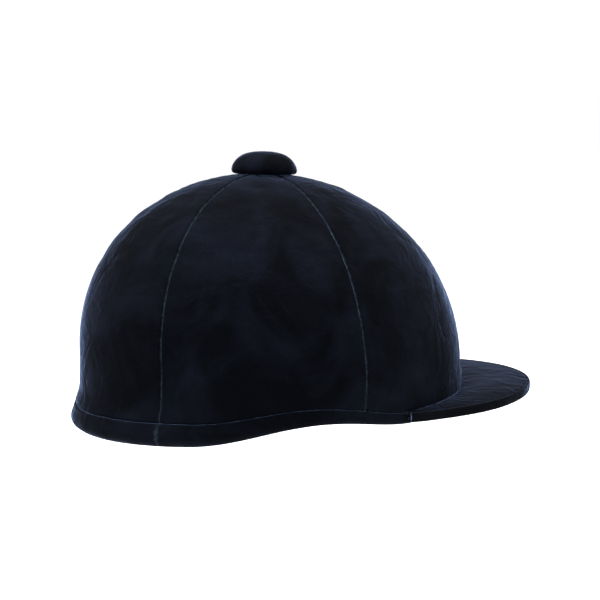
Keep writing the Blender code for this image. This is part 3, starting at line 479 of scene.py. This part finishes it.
points = []
for i in range(PEAK_COLUMNS * 2 + 1):
    angle = -PEAK_SIDE + PEAK_SIDE * i / PEAK_COLUMNS
    reach = peak_reach(angle)
    middle = peak_edge(angle) + 0.35 * MM - EDGE_HEIGHT / 2
    for k in range(EDGE_SIDES):
        a = 2 * math.pi * k / EDGE_SIDES
        wide = math.copysign(abs(math.cos(a)) ** 0.7, math.cos(a)) * EDGE_WIDTH / 2
        tall = math.copysign(abs(math.sin(a)) ** 0.8, math.sin(a)) * EDGE_HEIGHT / 2
        crimp = 0.08 * MM * math.sin(angle * 4.1) * math.sin(a) ** 2
        points.append(on_wall(angle, middle + tall, -reach - EDGE_WIDTH * 0.42 - wide - crimp))
count = PEAK_COLUMNS * 2 + 1
faces = []
for i in range(count - 1):
    for k in range(EDGE_SIDES):
        n = (k + 1) % EDGE_SIDES
        faces.append((i * EDGE_SIDES + k, (i + 1) * EDGE_SIDES + k,
                      (i + 1) * EDGE_SIDES + n, i * EDGE_SIDES + n))
faces.append(tuple(range(EDGE_SIDES - 1, -1, -1)))
faces.append(tuple((count - 1) * EDGE_SIDES + k for k in range(EDGE_SIDES)))
binding = piece("peak_binding", points, [tuple(reversed(f)) for f in faces], EDGE_VELVET)
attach(binding, "cap")
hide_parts("peak_edge_binding")

# ---------------------------------------------------------------------------
# Crown button. A moulded core under a disc of velvet whose edge is gathered in below it. A stud,
# washer and nut hold it to the shell.
# ---------------------------------------------------------------------------
# Its outline in mm, as radius and height, from the gathered underside over the rolled edge.
BUTTON_OUTLINE = [(16.2, 0.2), (17.4, 0.25), (18.6, 0.45), (19.5, 0.9), (20.2, 1.6), (20.6, 2.5),
                  (20.6, 3.5), (20.3, 4.6), (19.7, 5.8), (18.8, 7.1), (17.5, 8.5), (15.8, 9.9),
                  (13.7, 11.2), (11.2, 12.2), (8.3, 12.9), (5.3, 13.35), (2.6, 13.55), (0, 13.6)]
SPOKES = 96
crown_top = upright(0, CROWN_SETBACK, CROWN_RISE)
points = []
for i in range(SPOKES):
    a = 2 * math.pi * i / SPOKES
    gather = 0.3 * MM * math.sin(9 * a + 1.3 * math.sin(2 * a))
    for radius, height in BUTTON_OUTLINE:
        out = radius * MM + gather * ease(10 - height, 0, 10) * (radius > 5)
        fall = CROWN_RISE * (1 - (1 - (out / HALF_LENGTH) ** CROWN_FULLNESS)
                             ** (1 / CROWN_FULLNESS)) * ease(12 - height, 0, 12)
        points.append(crown_top + leaning @ Vector((out * math.cos(a), out * math.sin(a),
                                                    height * MM - fall)))
cover = piece("button_velvet", points, grid_faces(SPOKES, len(BUTTON_OUTLINE), True), NAVY_VELVET,
              None, 0.8 * MM)
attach(cover, "cap")
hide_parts("button_cover")

# ---------------------------------------------------------------------------
# Hard shell, foam liner, peak board and metal fittings. They are the frame's own solids. The shell
# is one ABS moulding, and the foam inside it is steam-moulded from polystyrene beads.
# ---------------------------------------------------------------------------
nodes = frame["nodes"]


def dress(look, *names):
    """Gives a finish to pieces of the frame."""
    for name in names:
        for held in nodes[name].material_slots:
            held.material = look


def moulded_plastic(name, shade, wear_and_seam_sheen, roughness):
    """A black moulding with a fine spark-eroded texture and slightly paler, rubbed places."""
    made, tree, shader = surface(name, IOR=1.49)
    place = add(tree, "TexCoord")
    rubbed = add(tree, "TexNoise", {"Vector": place.outputs["Object"], "Scale": 1 / (9 * MM),
                                    "Detail": 4.0})
    tones = add(tree, "ValToRGB", {"Fac": rubbed.outputs["Fac"]})
    tones.color_ramp.elements[0].color = linear(shade)
    tones.color_ramp.elements[0].position = 0.45
    tones.color_ramp.elements[1].color = linear(wear_and_seam_sheen)
    tones.color_ramp.elements[1].position = 0.80
    tree.links.new(tones.outputs["Color"], shader.inputs["Base Color"])
    dull = add(tree, "MapRange", {"Value": rubbed.outputs["Fac"], "To Min": roughness - 0.08,
                                  "To Max": roughness + 0.10})
    tree.links.new(dull.outputs["Result"], shader.inputs["Roughness"])
    texture = add(tree, "TexNoise", {"Vector": place.outputs["Object"], "Scale": 1 / (0.6 * MM)})
    bump = add(tree, "Bump", {"Strength": 0.35, "Distance": 0.08 * MM,
                              "Height": texture.outputs["Fac"]})
    tree.links.new(bump.outputs["Normal"], shader.inputs["Normal"])
    return made


def turned_metal(name, shade, tarnish, roughness):
    """Metal rivets and nuts: bright where rubbed, duller in blotches a few millimetres wide."""
    made, tree, shader = surface(name, Metallic=1.0)
    place = add(tree, "TexCoord")
    film = add(tree, "TexNoise", {"Vector": place.outputs["Object"], "Scale": 1 / (2.5 * MM),
                                  "Detail": 3.0})
    tones = add(tree, "ValToRGB", {"Fac": film.outputs["Fac"]})
    tones.color_ramp.elements[0].color = linear(tarnish)
    tones.color_ramp.elements[1].color = linear(shade)
    tree.links.new(tones.outputs["Color"], shader.inputs["Base Color"])
    dull = add(tree, "MapRange", {"Value": film.outputs["Fac"], "To Min": roughness + 0.15,
                                  "To Max": roughness})
    tree.links.new(dull.outputs["Result"], shader.inputs["Roughness"])
    return made


def bead_foam():
    """Expanded polystyrene: white beads 3 mm across, pressed together, with fine dark joints."""
    made, tree, shader = surface("expanded_polystyrene_foam", Roughness=0.75,
                                 Subsurface_Weight=0.15, Subsurface_Scale=2 * MM)
    place = add(tree, "TexCoord")
    beads = add(tree, "TexVoronoi", {"Vector": place.outputs["Object"], "Scale": 1 / (3 * MM)},
                feature="DISTANCE_TO_EDGE")
    tones = add(tree, "ValToRGB", {"Fac": beads.outputs["Distance"]})
    tones.color_ramp.elements[0].color = linear("b9b8b2")
    tones.color_ramp.elements[1].color = linear("e6e5df")
    tones.color_ramp.elements[1].position = 0.12
    tree.links.new(tones.outputs["Color"], shader.inputs["Base Color"])
    bump = add(tree, "Bump", {"Strength": 0.5, "Distance": 0.3 * MM,
                              "Height": tones.outputs["Color"]})
    tree.links.new(bump.outputs["Normal"], shader.inputs["Normal"])
    return made


dress(moulded_plastic("moulded_abs_shell", "08080a", "141417", 0.42), "outer_shell")
dress(moulded_plastic("flexible_polyethylene_board", "0b0b0c", "19191b", 0.6),
      "peak_board", "button_core")
dress(bead_foam(), "impact_liner")
dress(turned_metal("zinc_plated_steel", "a9aaa8", "7d7e7b", 0.30), "peak_rivet_left",
      "peak_rivet_middle", "peak_rivet_right", "button_stud", "button_washer", "button_nut")
dress(turned_metal("brass", "c79a4e", "8a6a34", 0.25), "front_rivet_left", "front_rivet_right",
      "rear_rivet_left", "rear_rivet_right")

# ---------------------------------------------------------------------------
# Lining, headband and comfort pads. Black knitted cloth lines the dome, a leather headband runs round
# the opening, and soft pads sit at the brow, the nape and the crown.
# ---------------------------------------------------------------------------
INNER_BOTTOM = 5.2 * MM    # the foam and the headband start this far above the rim
BAND_OUT = 20.7 * MM       # how far in from the velvet the lining and the headband lie
BAND_WALL = 5.0 * MM
BAND_TALL = 36 * MM


def way_at(angle, z, inset):
    """The way along the inner wall at a height: down the wall if negative, else a rise."""
    y = -(HALF_LENGTH - inset) * math.cos(math.radians(angle))
    height = (z - CAP_MIDDLE.z - y * math.sin(LEAN)) / math.cos(LEAN)
    if height <= 0:
        return height
    return math.degrees(math.asin((height / (CROWN_RISE - inset)) ** (CROWN_FULLNESS / 2)))


def inside(angle, z, inset):
    return on_cap(angle, way_at(angle, z, inset), inset)


def loops(name, sections, look, round_it=False):
    """A solid through closed sections of equal length, capped unless it goes all the way round."""
    size = len(sections[0])
    faces = []
    for i in range(len(sections) if round_it else len(sections) - 1):
        j = (i + 1) % len(sections)
        for k in range(size):
            n = (k + 1) % size
            faces.append((i * size + k, i * size + n, j * size + n, j * size + k))
    if not round_it:
        last = (len(sections) - 1) * size
        faces.append(tuple(range(size)))
        faces.append(tuple(last + k for k in range(size - 1, -1, -1)))
    return piece(name, [p for section in sections for p in section], faces, look)


def knitted_cloth():
    """Black polyester knit: loops 1.4 mm apart, coarser than the real ones so that they show."""
    made, tree, shader = surface("black_knitted_lining", Roughness=0.9, Specular_IOR_Level=0.2,
                                 Sheen_Weight=0.3, Sheen_Roughness=0.5,
                                 Sheen_Tint=linear("8a8f98"))
    place = add(tree, "TexCoord")
    ribs = add(tree, "TexVoronoi", {"Vector": place.outputs["Object"], "Scale": 1 / (1.4 * MM)})
    tones = add(tree, "ValToRGB", {"Fac": ribs.outputs["Distance"]})
    tones.color_ramp.elements[0].color = linear("26282c")
    tones.color_ramp.elements[1].color = linear("0d0d10")
    tree.links.new(tones.outputs["Color"], shader.inputs["Base Color"])
    bump = add(tree, "Bump", {"Strength": 0.6, "Distance": 0.25 * MM,
                              "Height": ribs.outputs["Distance"]}, invert=True)
    tree.links.new(bump.outputs["Normal"], shader.inputs["Normal"])
    return made


def grained_leather():
    """Black sheepskin leather: pebbled grain about 1.2 mm across, browner where it is handled."""
    made, tree, shader = surface("black_grained_leather", Specular_IOR_Level=0.45)
    place = add(tree, "TexCoord")
    grain = add(tree, "TexVoronoi", {"Vector": place.outputs["Object"], "Scale": 1 / (1.2 * MM)},
                feature="DISTANCE_TO_EDGE")
    handled = add(tree, "TexNoise", {"Vector": place.outputs["Object"], "Scale": 1 / (22 * MM),
                                     "Detail": 4.0})
    tones = add(tree, "ValToRGB", {"Fac": handled.outputs["Fac"]})
    tones.color_ramp.elements[0].color = linear("1a1817")
    tones.color_ramp.elements[0].position = 0.4
    tones.color_ramp.elements[1].color = linear("352d28")
    tones.color_ramp.elements[1].position = 0.75
    tree.links.new(tones.outputs["Color"], shader.inputs["Base Color"])
    dull = add(tree, "MapRange", {"Value": handled.outputs["Fac"], "To Min": 0.52, "To Max": 0.36})
    tree.links.new(dull.outputs["Result"], shader.inputs["Roughness"])
    bump = add(tree, "Bump", {"Strength": 0.5, "Distance": 0.12 * MM,
                              "Height": grain.outputs["Distance"]})
    tree.links.new(bump.outputs["Normal"], shader.inputs["Normal"])
    return made


BLACK_KNIT = knitted_cloth()
BLACK_LEATHER = grained_leather()
RING = [2 * i - 180 if i else 180 for i in range(180)]     # every second degree round the cap


def gore(angle):
    """0 on the six seams of the lining, 1 between them."""
    return 1 - (abs(angle % 60 - 30) / 30) ** 6


points = []
for angle in RING:
    base = rim_height(angle) + INNER_BOTTOM + BAND_TALL + 0.5 * MM
    for k in range(6):
        points.append(inside(angle, base + 2 * MM * k, BAND_OUT + 0.1 * MM * k * gore(angle)))
    start = way_at(angle, base + 10 * MM, BAND_OUT)
    for k in range(1, 37):
        puff = (0.5 + 0.7 * math.sin(math.pi * k / 36)) * MM * gore(angle)
        points.append(on_crown(angle, start + (87 - start) * k / 36, BAND_OUT + puff))
lining = piece("knitted_lining", points, grid_faces(len(RING), 42, True), BLACK_KNIT, None,
               0.7 * MM)
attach(lining, "cap")
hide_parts("lining_cap")

# The crown pad is quilted foam. Its six channels meet at the crown.
PAD_EDGE = 62
PAD_OUT = BAND_OUT + 2.2 * MM
sections = []
for i in range(120):
    angle = 3 * i
    channel = 1 - 0.4 * math.exp(-((abs(angle % 60 - 30) - 30) / 4) ** 2)
    row = [on_crown(angle, 89 - (89 - PAD_EDGE) * k / 10, PAD_OUT) for k in range(11)]
    for k in range(13):
        share = k / 12
        depth = 5.0 * MM * channel * math.sin(math.pi / 2 * min(share * 4, 1)) ** 0.6
        row.append(on_crown(angle, PAD_EDGE + 0.4 + (88.6 - PAD_EDGE) * share, PAD_OUT + depth))
    sections.append(row)
crown_pad = loops("quilted_crown_pad", sections, BLACK_KNIT, True)
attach(crown_pad, "cap")
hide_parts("crown_pad")

# The headband is leather folded over soft foam and stitched along both edges.
BAND_OUTLINE = [(0.0, 0.8), (0.0, 12), (0.0, 24), (0.0, 35.2), (0.6, 36), (3.4, 36), (4.4, 35.2),
                (4.5, 33.6), (4.0, 32.4), (4.6, 31.0), (5.0, 26), (5.1, 18), (5.0, 10),
                (4.6, 5.0), (4.0, 3.8), (4.5, 2.4), (4.3, 0.8), (3.4, 0.0), (0.6, 0.0)]
sections = []
for angle in RING:
    base = rim_height(angle) + INNER_BOTTOM
    sag = 0.25 * MM * noise.noise(Vector((angle * 0.12, 0.4, 9.1)))
    sections.append([inside(angle, base + up * MM, BAND_OUT + deep * MM + (sag if deep > 4 else 0))
                     for deep, up in BAND_OUTLINE])
headband = loops("leather_headband", sections, BLACK_LEATHER, True)
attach(headband, "cap")
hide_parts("headband")

# Brow and nape pads: short cushions of lining cloth sewn to the headband, in three rolls.
PAD_TALL = 26 * MM
for name, middle in (("brow_cushion", 0), ("nape_cushion", 180)):
    sections = []
    for i in range(33):
        share = i / 16 - 1
        angle = (middle + 31 * share + 180) % 360 - 180
        base = rim_height(angle) + INNER_BOTTOM + 5 * MM
        full = max(1 - share ** 4, 0.04) ** 0.5
        row = [inside(angle, base + PAD_TALL * (0.5 + 0.5 * full * (k / 4 - 1)),
                      BAND_OUT + BAND_WALL + 0.6 * MM) for k in range(0, 9, 2)]
        for k in range(24, -1, -1):
            up = k / 24
            roll = 0.45 + 0.55 * abs(math.sin(3 * math.pi * up))
            deep = 3.4 * MM * full * roll * min(1, 6 * up + 0.1, 6 * (1 - up) + 0.1)
            row.append(inside(angle, base + PAD_TALL * (0.5 + 0.5 * full * (2 * up - 1)),
                              BAND_OUT + BAND_WALL + 0.7 * MM + deep))
        sections.append(row)
    pad = loops(name, sections, BLACK_KNIT)
    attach(pad, "cap")
    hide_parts(name.replace("cushion", "pad"))

# The underside of the peak is lined with the same cloth, glued to the board.
peak_lining = peak_leaf("peak_lining", 4.1 * MM, 0.7 * MM, BLACK_KNIT, flip=True)
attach(peak_lining, "cap")
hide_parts("peak_underside_lining")

# ---------------------------------------------------------------------------
# Harness. Woven polyester webbing is riveted through the shell, folds under the foam and runs to a
# moulded divider on each side. A chin strap hangs from each divider and carries half of the buckle.
# ---------------------------------------------------------------------------
def woven_webbing():
    """Black polyester webbing: a twill of yarns 1.1 mm apart along and across the strap."""
    made, tree, shader = surface("black_woven_webbing", Roughness=0.72, Specular_IOR_Level=0.35,
                                 Sheen_Weight=0.25, Sheen_Roughness=0.4,
                                 Sheen_Tint=linear("9aa0aa"))
    along = add(tree, "UVMap", uv_map="along")
    yarns = add(tree, "TexWave", {"Vector": along.outputs["UV"], "Scale": 0.314 / (1.1 * MM) / 2,
                                  "Distortion": 0.6, "Detail": 1.0}, bands_direction="DIAGONAL")
    across = add(tree, "TexWave", {"Vector": along.outputs["UV"],
                                   "Scale": 0.314 / (1.1 * MM) / 2}, bands_direction="Y")
    weave = add(tree, "Math", {0: yarns.outputs["Fac"], 1: across.outputs["Fac"]},
                operation="MULTIPLY")
    tones = add(tree, "ValToRGB", {"Fac": weave.outputs[0]})
    tones.color_ramp.elements[0].color = linear("0b0b0d")
    tones.color_ramp.elements[1].color = linear("2a2b2e")
    tree.links.new(tones.outputs["Color"], shader.inputs["Base Color"])
    bump = add(tree, "Bump", {"Strength": 0.8, "Distance": 0.25 * MM, "Height": weave.outputs[0]})
    tree.links.new(bump.outputs["Normal"], shader.inputs["Normal"])
    return made


WEBBING = woven_webbing()
WEB_THICK = 1.2 * MM
BLACK_ACETAL = moulded_plastic("moulded_black_acetal", "0a0a0b", "1c1c1e", 0.36)
joints = {joint["name"]: joint for joint in frame["joints"]}
fold_front = Vector(joints["side_fold_left"]["pos_m"])
fold_axis = -Vector(joints["side_fold_left"]["axis"]).normalized()
chin_hinge = Vector(joints["chin_fold_left"]["pos_m"])
UP = Vector((0, 0, 1))
HINGE_INSET = 33 * MM
STRAP_DROP = 70 * MM
DIVIDER_BACK = 52 * MM
LEG_AIM = 7.5 * MM
TUCK_LEAN = math.radians(14)
TUCK_YAW = math.radians(30)
TUCK_PITCH = math.radians(-20)
TUCK_ROLL = math.radians(30)
CHIN_STRAIGHT = 22 * MM
CHIN_HALF = 7.5 * MM
CHIN_RADIUS = 37.166 * MM
CHIN_LONG = 80.38 * MM

fold_up = (UP - fold_axis * fold_axis.z).normalized()
fold_outward = fold_axis.cross(fold_up)
strap_up = fold_up * math.cos(TUCK_LEAN) - fold_outward * math.sin(TUCK_LEAN)
chin_along = Vector((math.sin(TUCK_YAW) * math.cos(TUCK_PITCH),
                     -math.cos(TUCK_YAW) * math.cos(TUCK_PITCH), math.sin(TUCK_PITCH)))
chin_curl = (Matrix.Rotation(TUCK_ROLL, 3, chin_along)
             @ Vector((-math.cos(TUCK_YAW), -math.sin(TUCK_YAW), 0)))
chin_across = chin_along.cross(chin_curl)


def sideways(point, side):
    return (point.x * side, point.y, point.z)


def on_chin(length):
    """Point on the left chin strap at a length from where it turns, and the way out of its curve."""
    if length <= CHIN_STRAIGHT:
        return chin_hinge + chin_along * length, -chin_curl
    a = (length - CHIN_STRAIGHT) / CHIN_RADIUS
    out = -chin_curl * math.cos(a) + chin_along * math.sin(a)
    return (chin_hinge + chin_along * CHIN_STRAIGHT + (chin_curl + out) * CHIN_RADIUS), out


def anchor(angle):
    """Foot of a tab on the outside of the cap, and the way out from it."""
    a = math.radians(angle)
    out = Vector((math.sin(a) / HALF_WIDTH, -math.cos(a) / HALF_LENGTH, 0)).normalized()
    return on_wall(angle, rim_height(angle) + 3.6 * MM, 0), out


def run_of(pairs, radius):
    """Both edges of a strap through pairs of corner points, with its corners rounded."""
    edges = []
    for end in (0, 1):
        stops = [pair[end] for pair in pairs]
        line = [stops[0]]
        for k in range(1, len(stops)):
            way = (stops[k] - stops[k - 1]).normalized()
            middles = [(pairs[j][0] + pairs[j][1]) / 2 for j in (k - 1, k)]
            count = max(2, round((middles[1] - middles[0]).length / (3 * MM)))
            begin = line[-1]
            stop = stops[k] - way * radius if k < len(stops) - 1 else stops[k]
            line += [begin.lerp(stop, j / count) for j in range(1, count + 1)]
            if k < len(stops) - 1:
                onward = (stops[k + 1] - stops[k]).normalized()
                far = stops[k] + onward * radius
                for j in range(1, 7):
                    t = j / 6
                    line.append(stop.lerp(stops[k], t).lerp(stops[k].lerp(far, t), t))
        edges.append(line)
    return edges


def strap(name, edges, side, thick=WEB_THICK, across=8):
    """Webbing between two edges, mirrored for the right side."""
    points = []
    uvs = []
    length = 0.0
    width = (edges[0][0] - edges[1][0]).length
    for i, (left, right) in enumerate(zip(*edges)):
        if i:
            length += ((left + right) / 2 - (edges[0][i - 1] + edges[1][i - 1]) / 2).length
        for k in range(across + 1):
            point = left.lerp(right, k / across)
            points.append((point.x * side, point.y, point.z))
            uvs.append((length, width * k / across))
    made = piece(name, points, grid_faces(len(edges[0]), across + 1), WEBBING, None, thick, uvs)
    made.modifiers["thickness"].offset = 0
    soft = made.modifiers.new("selvedge", "BEVEL")
    soft.width = 0.3 * MM
    soft.segments = 2
    soft.limit_method = "ANGLE"
    return made


def rounded(name, radius):
    """Moulded corners on a piece of the frame."""
    corners = nodes[name].modifiers.new("corners", "BEVEL")
    corners.width = radius
    corners.segments = 3
    corners.limit_method = "ANGLE"
    corners.angle_limit = math.radians(50)


def web_loop(name, at, long, side):
    """A loop of webbing, closed round the left chin strap at a length along it."""
    points = []
    uvs = []
    for i in range(7):
        length = at + long * (i / 6 - 0.5)
        middle, out = on_chin(length)
        for k in range(49):
            turn = 2 * math.pi * k / 48
            wide = math.copysign(abs(math.cos(turn)) ** 0.3, math.cos(turn))
            deep = math.copysign(abs(math.sin(turn)) ** 0.6, math.sin(turn))
            point = middle + chin_across * wide * (CHIN_HALF + 0.8 * MM) + out * deep * 1.5 * MM
            points.append(sideways(point, side))
            uvs.append((4.4 * CHIN_HALF * k / 48, length))
    made = piece(name, points, grid_faces(7, 49), WEBBING, None, 0.9 * MM, uvs)
    made.modifiers["thickness"].offset = 0
    return made


TAB_HALF = 8 * MM
WEB_INSET = 5.7 * MM
for side, label in ((1, "left"), (-1, "right")):
    rear_foot, rear_out = anchor(135)
    fold_span = (rear_foot - rear_out * HINGE_INSET - fold_front).length
    for end, angle, at, aim in (("front", 65, 0, DIVIDER_BACK - LEG_AIM),
                                ("rear", 135, fold_span, DIVIDER_BACK + LEG_AIM)):
        foot, out = anchor(angle)
        along = UP.cross(out)
        pairs = []
        for s in (-TAB_HALF, TAB_HALF):
            top = Vector((foot.x, foot.y - (33 * MM - foot.z) * math.tan(LEAN), 33 * MM))
            gap = (foot + along * s - fold_front).dot(fold_outward) / out.dot(fold_outward)
            pairs.append([top - out * WEB_INSET + along * s, foot - out * WEB_INSET + along * s,
                          foot + along * s - out * (gap - 3.2 * MM)])
        tab = strap(end + "_web_tab_" + label, run_of(list(zip(*pairs)), 1.2 * MM), side,
                    0.9 * MM)
        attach(tab, "cap")
        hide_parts(end + "_tab_" + label)

        # The side strap is sewn under the tab, and turns up where it folds.
        way = Vector((aim - at, STRAP_DROP)).normalized()
        half = 6 * MM / way.y
        base = fold_front + fold_axis * at
        finish = base + fold_axis * (aim - at - way.x * 5 * MM) + strap_up * (STRAP_DROP
                                                                          - way.y * 5 * MM)
        pairs = [(base + fold_outward * 8 * MM - UP * 1.3 * MM + fold_axis * s,
                  base - UP * 0.8 * MM + fold_axis * s,
                  finish + (fold_axis * way.y - strap_up * way.x) * s * way.y)
                 for s in (-half, half)]
        leg = strap(end + "_web_strap_" + label, run_of(list(zip(*pairs)), 1.6 * MM), side)
        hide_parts(end + "_strap_" + label)
        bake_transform(leg)

    # The chin strap turns at its hinge, runs straight at first and then curves to the chin.
    edges = ([], [])
    for k in range(61):
        point = on_chin((CHIN_LONG + 3 * MM) * k / 60 - 9 * MM)[0]
        edges[0].append(point - chin_across * CHIN_HALF)
        edges[1].append(point + chin_across * CHIN_HALF)
    chin = strap("chin_web_" + label, edges, side)
    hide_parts("chin_strap_" + label)
    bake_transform(chin)
    keeper = web_loop("web_keeper_" + label, 30 * MM, 7 * MM, side)
    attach(keeper, "chin_" + label)
    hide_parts("keeper_" + label)
    dress(BLACK_ACETAL, "divider_" + label)
    rounded("divider_" + label, 1.2 * MM)

# The slider that sets the length, and both halves of the side-release buckle, are moulded.
dress(BLACK_ACETAL, "strap_adjuster", "buckle_plug", "buckle_socket")
rounded("strap_adjuster", 0.4 * MM)
rounded("buckle_plug", 0.5 * MM)
rounded("buckle_socket", 0.6 * MM)
